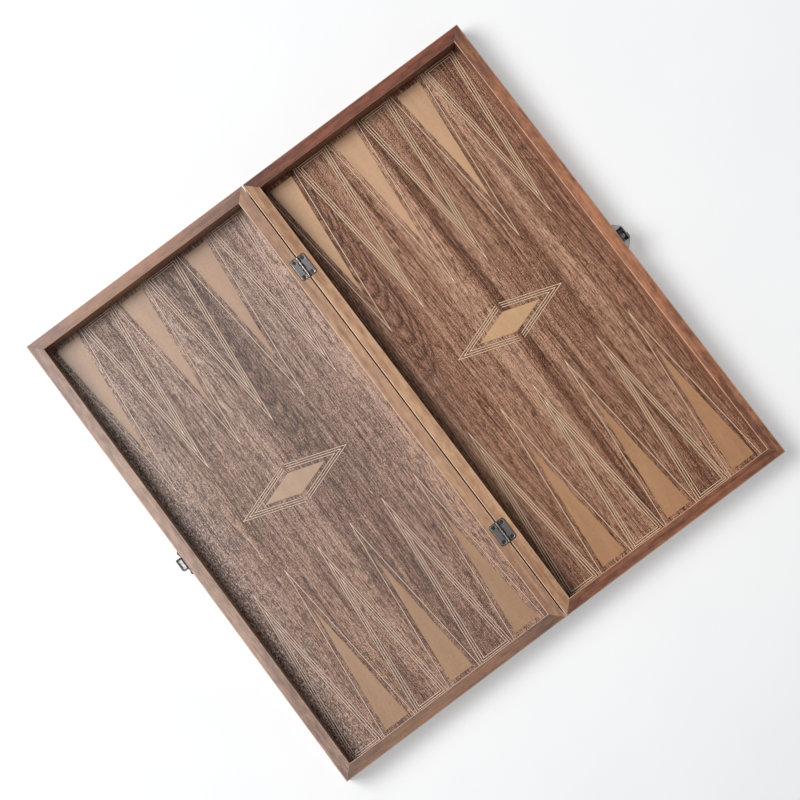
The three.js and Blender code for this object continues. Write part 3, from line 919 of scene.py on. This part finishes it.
def chevron(centre, side, reach, spread, proud):
    """A line bent round one end of the diamond, stopping short of the diamond's middle."""
    steepness = math.hypot(1, CHEVRON_SLOPE) / CHEVRON_SLOPE

    def bend(inset):
        length = reach - inset * steepness
        gap = CHEVRON_GAP / 2
        rise = CHEVRON_SLOPE * (length - gap)
        x_gap, x_tip = centre.x + side * gap, centre.x + side * length
        return [(x_gap, centre.y - rise), (x_tip, centre.y), (x_gap, centre.y + rise)]

    return strip(bend, False, spread, proud)


def build_stringing(tray):
    """The light lines, each let into a slightly wider dark line of glue."""
    light = light_veneer(f"{tray}_stringing", tray, STRINGING_TONES[tray], STRINGING_SEED)
    glue = glue_line(f"{tray}_glue_line")
    layers = [("stringing", light, 0.0, LINE_PROUD), ("glue_line", glue, GLUE_WIDTH, GLUE_PROUD)]
    centre = centre_mm(f"{tray}_diamond")
    rail_y = box_mm(f"{tray}_field_veneer")[1].y
    body = f"{tray}_half"
    step = CHEVRON_SPACING / CHEVRON_SLOPE
    for layer, material, spread, proud in layers:
        for place, end in ENDS.items():
            lines = []
            for i in range(POINTS_PER_END):
                x = centre.x + (i - (POINTS_PER_END - 1) / 2) * POINT_PITCH
                lines.append(open_line(x, end, rail_y, spread, proud))
                if f"{tray}_{place}_point_{i + 1}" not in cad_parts:
                    lines += [closed_line(x, end, rail_y, spread, proud, **line) for line in CLOSED_LINES]
            add_piece(f"{tray}_{place}_{layer}", merged(*lines), body, material)
        reaches = [CHEVRON_REACH - i * step for i in range(CHEVRON_COUNT)]
        lines = [chevron(centre, side, reach, spread, proud) for side in (-1, 1) for reach in reaches]
        add_piece(f"{tray}_diamond_{layer}", merged(*lines), body, material)


def veneer_outside(tray, seed):
    flame = {**FLAMES[tray], **OUTSIDE_FLAME, "x": centre_mm(f"{tray}_diamond").x}
    outside = walnut_field(f"{tray}_outside", tray, OUTSIDE_BANDS, flame, seed, LEAF_TINTS_WITH_GLARE[tray])
    repaint(f"{tray}_outside_veneer", outside)


def build_tray(tray):
    for place in ("near", "far", "outer", "hinge"):
        build_rail(tray, place)
    seed = TRAY_SEEDS[tray]
    field = walnut_field(f"{tray}_field", tray, FIELD_BANDS[tray], FLAMES[tray], seed, LEAF_TINTS_WITH_GLARE[tray])
    repaint(f"{tray}_field_veneer", field)
    veneer_outside(tray, seed + OUTSIDE_SEED_STEP)
    repaint(f"{tray}_base_panel", plywood(f"{tray}_core"))
    for number, node in enumerate(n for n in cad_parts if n.startswith(tray)):
        for group, tones in INLAY_TONES.items():
            if node.startswith(group):
                repaint(node, light_veneer(f"{node}_veneer", tray, tones, seed + number))
    build_stringing(tray)


# ---- Hinges ----

HINGE_NUMBERS = (1, 2)
HINGE_KNUCKLES = {"left": (0, 2, 4), "right": (1, 3)}
HINGE_CENTRES = [centre_mm(f"hinge_{number}_pin").y for number in HINGE_NUMBERS]
BARREL_HEIGHT = centre_mm("hinge_1_pin").z - RIM / MM
LEAF_LENGTH = length_mm("hinge_1_left_leaf")
LEAF_HALF_LENGTH = LEAF_LENGTH / 2
PIN_LENGTH = length_mm("hinge_1_pin")


def screw_slots(reach, width, bottom, top):
    """The two crossed slots of a screw head."""
    half = width / 2
    return [block((-a, -b, bottom), (a, b, top)) for a, b in ((reach, half), (half, reach))]


def hinge_knuckle(start, end):
    """The strip of the leaf rolled round the pin."""
    top_angle = -math.degrees(math.asin((BARREL_HEIGHT + TAIL_SINK) / BARREL_RADIUS))
    bottom_angle = 360 - math.degrees(math.asin((LEAF_THICKNESS + BARREL_HEIGHT) / BARREL_RADIUS))
    tail = LEAF_SETBACK + TAIL_OVERLAP
    outline = arc((0, BARREL_HEIGHT), BARREL_RADIUS, top_angle, bottom_angle, ROUND_SIDES)
    return prism([*outline, (tail, -LEAF_THICKNESS), (tail, -TAIL_SINK)], start, end, "Y")


def leaf_ease(start, end):
    """The edges of the plate's face are rounded over, apart from the one that the knuckles grow from."""
    on_face = abs(start.z) < SAME_PLACE and abs(end.z) < SAME_PLACE
    at_knuckles = max(start.x, end.x) < LEAF_SETBACK + SAME_PLACE
    return LEAF_CHAMFER if on_face and not at_knuckles else 0.0


def screw_sink():
    hole = HINGE_SCREW_SHANK + SCREW_CLEARANCE
    rim = HINGE_SCREW_HEAD + SINK_CLEARANCE
    return turned([
        (hole, -LEAF_THICKNESS - CUT_MARGIN), (hole, -HINGE_SCREW_SINK - FIT), (rim, 0), (rim, CUT_MARGIN),
    ])


def hinge_leaf(own_knuckles):
    leaf = eased(prism(leaf_outline(LEAF_SETBACK, 0), -LEAF_THICKNESS, 0), leaf_ease, segments=3)
    half = LEAF_HALF_LENGTH
    pitch = LEAF_LENGTH / KNUCKLES
    for index in own_knuckles:
        start = index * pitch - half + (KNUCKLE_GAP / 2 if index > 0 else 0)
        end = (index + 1) * pitch - half - (KNUCKLE_GAP / 2 if index < KNUCKLES - 1 else 0)
        leaf = fused(leaf, hinge_knuckle(start, end))
    bore = moved(turned([(PIN_BORE, -LEAF_LENGTH), (PIN_BORE, LEAF_LENGTH)], "Y"), (0, 0, BARREL_HEIGHT))
    leaf = cut(leaf, bore)
    for side in (-1, 1):
        leaf = cut(leaf, moved(screw_sink(), (HINGE_SCREW_PLACE[0], side * HINGE_SCREW_PLACE[1], 0)))
    return leaf


def countersunk_screw():
    head, shank, edge = HINGE_SCREW_HEAD, HINGE_SCREW_SHANK, SCREW_HEAD_EDGE
    body = turned([
        (SCREW_TIP, -HINGE_SCREW_LENGTH), (shank, 2 * shank - HINGE_SCREW_LENGTH), (shank, -HINGE_SCREW_SINK),
        (head - edge, -edge), (head, -edge / 2), (head - edge, 0),
    ])
    return cut(body, *screw_slots(**HINGE_SLOT, top=CUT_MARGIN))


def build_hinge_screw(number, tray, index):
    """Every screw was driven to an angle of its own."""
    node = f"hinge_{number}_{tray}_screw_{index}"
    head = centre_mm(node)
    place = (head.x, head.y, box_mm(node)[1].z)
    screw = moved(countersunk_screw(), place, 20 + 35 * index + 50 * number)
    add_piece(f"{node}_cross", screw, f"{tray}_half", METALS["screw_metal"], node)


def build_hinge_pin(number):
    half = PIN_LENGTH / 2
    tip, chamfer = PIN_RADIUS * PIN_TIP_SHARE, PIN_CHAMFER
    pin = turned([(tip, -half), (PIN_RADIUS, chamfer - half), (PIN_RADIUS, half - chamfer), (tip, half)], "Y")
    node = f"hinge_{number}_pin"
    pin = moved(pin, centre_mm(node))
    add_piece(f"{node}_rod", pin, "left_half", METALS["bright_steel"], node)


def build_hinge(number):
    place = (0, HINGE_CENTRES[number - 1], RIM / MM)
    for tray, knuckles in HINGE_KNUCKLES.items():
        leaf = moved(hinge_leaf(knuckles), place, 90 - 90 * SIDES[tray])
        node = f"hinge_{number}_{tray}_leaf"
        add_piece(f"{node}_plate", leaf, f"{tray}_half", METALS["hinge_metal"], node)
        for index in (1, 2):
            build_hinge_screw(number, tray, index)
    build_hinge_pin(number)


# ---- Latch: drawn with X outwards from the rail's face, Y along the rail and Z from the rim ----

LATCH_Y = centre_mm("latch_case").y


def latch_place(tray):
    """(offset, turn) of the latch's own axes on a tray's outer rail."""
    low, high = box_mm(f"{tray}_outer_rail")
    x = low.x if tray == "left" else high.x
    return (x, LATCH_Y, RIM / MM), 180 if tray == "left" else 0


def latch_screw_hole(span):
    radius = LATCH_SCREW_SHANK + SCREW_CLEARANCE
    hole = turned([(radius, -CUT_MARGIN), (radius, CASE_REACH + CUT_MARGIN)], "X")
    return moved(hole, (0, span, LATCH_SCREW_HEIGHT))


def latch_screw():
    """Round-headed screw driven inwards along X, with its seat at zero."""
    head, dome, shank = LATCH_SCREW_HEAD, LATCH_SCREW_DOME, LATCH_SCREW_SHANK
    angles = [math.radians(angle) for angle in range(0, 90, 10)]
    curve = [(head * math.cos(angle), dome * math.sin(angle)) for angle in angles]
    body = turned([
        (SCREW_TIP, -LATCH_SCREW_LENGTH), (shank, 2 * shank - LATCH_SCREW_LENGTH), (shank, 0),
        *curve, (LATCH_SCREW_TOP, dome),
    ], "X")
    slots = screw_slots(**LATCH_SLOT, top=dome + CUT_MARGIN)
    for slot in slots:
        slot.transform(Matrix.Rotation(math.radians(90), 4, "Y"))
    return cut(body, *slots)


def build_latch_screws(tray, owner, seat_reach):
    (x, y, z), turn = latch_place(tray)
    outward = SIDES[tray]
    for index, span in ((1, -LATCH_SCREW_SPAN), (2, LATCH_SCREW_SPAN)):
        node = f"{owner}_screw_{index}"
        head = (x + outward * (seat_reach + FIT), y + outward * span, z + LATCH_SCREW_HEIGHT)
        screw = moved(latch_screw(), head, turn)
        add_piece(f"{node}_cross", screw, f"{tray}_half", METALS["screw_metal"], node)


def keeper_shelf():
    """The shelf pressed across the inside of the staple, in a metal much paler than the keeper's: a painted
    highlight for light falling into the staple.
    """
    low = (STAPLE_REACH[0], STAPLE_WALL / 2 - STAPLE_HALF_SPAN, SHELF_HEIGHT[0])
    high = (STAPLE_REACH[1] - STAPLE_WALL / 2, STAPLE_HALF_SPAN - STAPLE_WALL / 2, SHELF_HEIGHT[1])
    return block(low, high)


def staple_outline():
    """A U of flat strip seen from above: two legs running out from the rail and a front wall."""
    back, front = STAPLE_REACH
    bend = front - STAPLE_CORNER
    side = STAPLE_HALF_SPAN - STAPLE_CORNER
    inner = STAPLE_CORNER - STAPLE_WALL
    outline = [(back, -STAPLE_HALF_SPAN), *arc((bend, -side), STAPLE_CORNER, -90, 0)]
    outline += [*arc((bend, side), STAPLE_CORNER, 0, 90), (back, STAPLE_HALF_SPAN)]
    outline += [(back, STAPLE_HALF_SPAN - STAPLE_WALL), *arc((bend, side), inner, 90, 0)]
    outline += [*arc((bend, -side), inner, 0, -90), (back, STAPLE_WALL - STAPLE_HALF_SPAN)]
    return outline


def build_keeper():
    """The left half's keeper: a plate with a staple that stands above the rim."""
    half = LATCH_HALF_SPAN
    thin = KEEPER_THICKNESS / 2
    plate = prism([
        (FIT, -half), (thin, -half), (KEEPER_THICKNESS, KEEPER_EDGE - half),
        (KEEPER_THICKNESS, half - KEEPER_EDGE), (thin, half), (FIT, half),
    ], KEEPER_BOTTOM, LATCH_TOP)
    foot_reach = STAPLE_REACH[0] + STAPLE_WALL
    foot = block((thin, -STAPLE_HALF_SPAN, STAPLE_HEIGHT[0]), (foot_reach, STAPLE_HALF_SPAN, LATCH_TOP))
    staple = prism(staple_outline(), *STAPLE_HEIGHT)
    bolt_hole = block(
        (BOLT_HOLE_REACH[0], -STAPLE_HALF_SPAN - CUT_MARGIN, BOLT_HOLE_HEIGHT[0]),
        (BOLT_HOLE_REACH[1], STAPLE_HALF_SPAN + CUT_MARGIN, BOLT_HOLE_HEIGHT[1]),
    )
    holes = [latch_screw_hole(span) for span in (-LATCH_SCREW_SPAN, LATCH_SCREW_SPAN)]
    keeper = cut(eased(fused(plate, foot, staple), evenly(KEEPER_EASE)), bolt_hole, *holes)
    keeper = moved(keeper, *latch_place("left"))
    metal = METALS["keeper_metal"]
    add_piece("keeper_plate_pressing", keeper, "left_half", metal, "keeper_plate")
    shelf = moved(keeper_shelf(), *latch_place("left"))
    # Painted highlight: the shelf gets a paler metal than the rest of the keeper.
    add_piece("keeper_plate_shelf", shelf, "left_half", METALS["pale_lit_shelf_metal"])
    build_latch_screws("left", "keeper", KEEPER_THICKNESS)


def case_shell():
    half, body, wall = LATCH_HALF_SPAN, CASE_HALF_SPAN, CASE_WALL
    one_side = [(FIT, half), (FLANGE_REACH, half), (SHOULDER_REACH, body + wall), (CASE_REACH, body - wall)]
    other_side = [(reach, -span) for reach, span in one_side]
    shell = prism([*other_side, *reversed(one_side)], CASE_BOTTOM, LATCH_TOP)
    return eased(shell, evenly(CASE_EASE), segments=3, sharpest=10)


def thumb_slot():
    """The opening that the button's thumb lug slides in."""
    (_, start, bottom), (reach, end, top) = BUTTON_THUMB
    clearance = 4 * FIT
    return block(
        (BUTTON_PLATE[0][0], start - clearance, bottom - clearance),
        (reach + CUT_MARGIN, end + BUTTON_TRAVEL + clearance, top + clearance),
    )


def spot_face(span):
    profile = [(SPOT_FACE_RADIUS, FLANGE_REACH), (SPOT_FACE_RADIUS, CASE_REACH + CUT_MARGIN)]
    return moved(turned(profile, "X"), (0, span, LATCH_SCREW_HEIGHT))


def build_latch_case():
    """The right half's case: open towards the rail and at the rim, with screws in its shoulders."""
    cavity = block(
        (-CUT_MARGIN, -MOUTH_HALF_SPAN, CASE_BOTTOM + CASE_FLOOR),
        (CASE_REACH - CASE_WALL, MOUTH_HALF_SPAN, CUT_MARGIN),
    )
    spans = (-LATCH_SCREW_SPAN, LATCH_SCREW_SPAN)
    spots = [spot_face(span) for span in spans]
    holes = [latch_screw_hole(span) for span in spans]
    case = moved(cut(case_shell(), cavity, thumb_slot(), *spots, *holes), *latch_place("right"))
    add_piece("latch_case_shell", case, "right_half", METALS["case_metal"], "latch_case")
    build_latch_screws("right", "latch", FLANGE_REACH)


def thumb_groove(y):
    """The notch between two ridges of the thumb lug."""
    (_, _, bottom), (reach, _, top) = BUTTON_THUMB
    mouth = reach + 2 * FIT
    outline = [(mouth, y - RIDGE_HALF_WIDTH), (mouth, y + RIDGE_HALF_WIDTH), (reach - RIDGE_DEPTH, y)]
    return prism(outline, bottom - CUT_MARGIN, top + CUT_MARGIN)


def build_button():
    """The sliding button: plate, ribbed thumb lug, and the arm with its bolt in the mouth."""
    parts = (BUTTON_PLATE, BUTTON_THUMB, BUTTON_ELBOW, BUTTON_ARM, BUTTON_BOLT, BUTTON_SEAT)
    button = fused(*[block(low, high) for low, high in parts])
    start, end = BUTTON_THUMB[0][1], BUTTON_THUMB[1][1]
    for i in range(THUMB_RIDGES):
        button = cut(button, thumb_groove(start + (end - start) * (i + 0.5) / THUMB_RIDGES))
    button = moved(eased(button, evenly(BUTTON_EASE)), *latch_place("right"))
    metal = METALS["button_metal"]
    add_piece("latch_button_slider", button, "latch_button", metal, "latch_button")


def build_spring():
    """The compression spring behind the button, drawn at one length; the real spring shortens as the button
    slides.
    """
    start, end = SPRING_SPAN
    reach, height = SPRING_PLACE
    steps = SPRING_TURNS * SPRING_STEPS_PER_TURN
    wire = arc((0, 0), SPRING_WIRE, 0, 360, SPRING_WIRE_SIDES)[:-1]
    rings = []
    for i in range(steps + 1):
        angle = 2 * math.pi * SPRING_TURNS * i / steps
        outward = Vector((math.cos(angle), 0, math.sin(angle)))
        middle = Vector((reach, start + (end - start) * i / steps, height)) + SPRING_RADIUS * outward
        rings.append([middle + a * outward + Vector((0, b, 0)) for a, b in wire])
    spring = moved(joined_rings(rings), *latch_place("right"))
    metal = METALS["bright_steel"]
    piece = add_piece("latch_spring_coil", spring, "right_half", metal, "latch_spring")
    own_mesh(piece)


# ---- Floor, light and camera ----

CAMERA_PLACE = (-29.2, -244.3, 2401.1)
CAMERA_TARGET = (-2.4, 0.4, 30.0)
CAMERA_ROLL = -36.98  # how far the picture's top is turned from the case's far side, in degrees
CAMERA_LENS = 121.24
VIEW_END = 20  # metres
DAYLIGHT = (0.98, 0.99, 1.0)
STUDIO_STRENGTH = 0.22
WINDOW = {"place": (-1.5, 1.2, 2.9), "width": 2.0, "height": 2.1, "watts": 120}  # metres and watts
FLOOR_HALF = 4000
FLOOR_GAP = 0.05


def build_floor():
    half = FLOOR_HALF
    corners = [(-half, -half, 0), (half, -half, 0), (half, half, 0), (-half, half, 0)]
    floor = mesh_from(corners, [(0, 1, 2, 3)])
    floor.transform(Matrix.Scale(MM, 4))
    floor.materials.append(tabletop("tabletop"))
    table = placed("table", floor)
    table.location.z = -FLOOR_GAP * MM


def add_window(width, height, watts, place):
    """A rectangular soft light aimed at the origin, with its height up the slope."""
    lamp = bpy.data.lights.new("window", "AREA")
    lamp.shape = "RECTANGLE"
    lamp.size, lamp.size_y = width, height
    lamp.energy = watts
    lamp.color = DAYLIGHT
    holder = placed("window", lamp)
    holder.location = place
    holder.rotation_euler = (-Vector(place)).to_track_quat("-Z", "Y").to_euler()


def light_scene():
    scene = bpy.context.scene
    scene.view_settings.view_transform = "Standard"
    world = bpy.data.worlds.new("studio")
    world.use_nodes = True
    background = world.node_tree.nodes["Background"]
    background.inputs["Color"].default_value = (*DAYLIGHT, 1)
    background.inputs["Strength"].default_value = STUDIO_STRENGTH
    scene.world = world
    add_window(**WINDOW)


def add_camera():
    camera = bpy.data.cameras.new("camera")
    camera.lens = CAMERA_LENS
    camera.clip_end = VIEW_END
    holder = placed("camera", camera)
    place, target = Vector(CAMERA_PLACE) * MM, Vector(CAMERA_TARGET) * MM
    backward = (place - target).normalized()
    right = Vector((0, 1, 0)).cross(backward).normalized()
    aim = Matrix((right, backward.cross(right), backward)).transposed().to_4x4()
    roll = Matrix.Rotation(math.radians(CAMERA_ROLL), 4, "Z")
    holder.matrix_world = Matrix.Translation(place) @ aim @ roll
    bpy.context.scene.camera = holder


# ---- Assembly ----

for tray_name in SIDES:
    build_tray(tray_name)

for hinge_number in HINGE_NUMBERS:
    build_hinge(hinge_number)
build_keeper()
build_latch_case()
build_button()
build_spring()

build_floor()
light_scene()
add_camera()
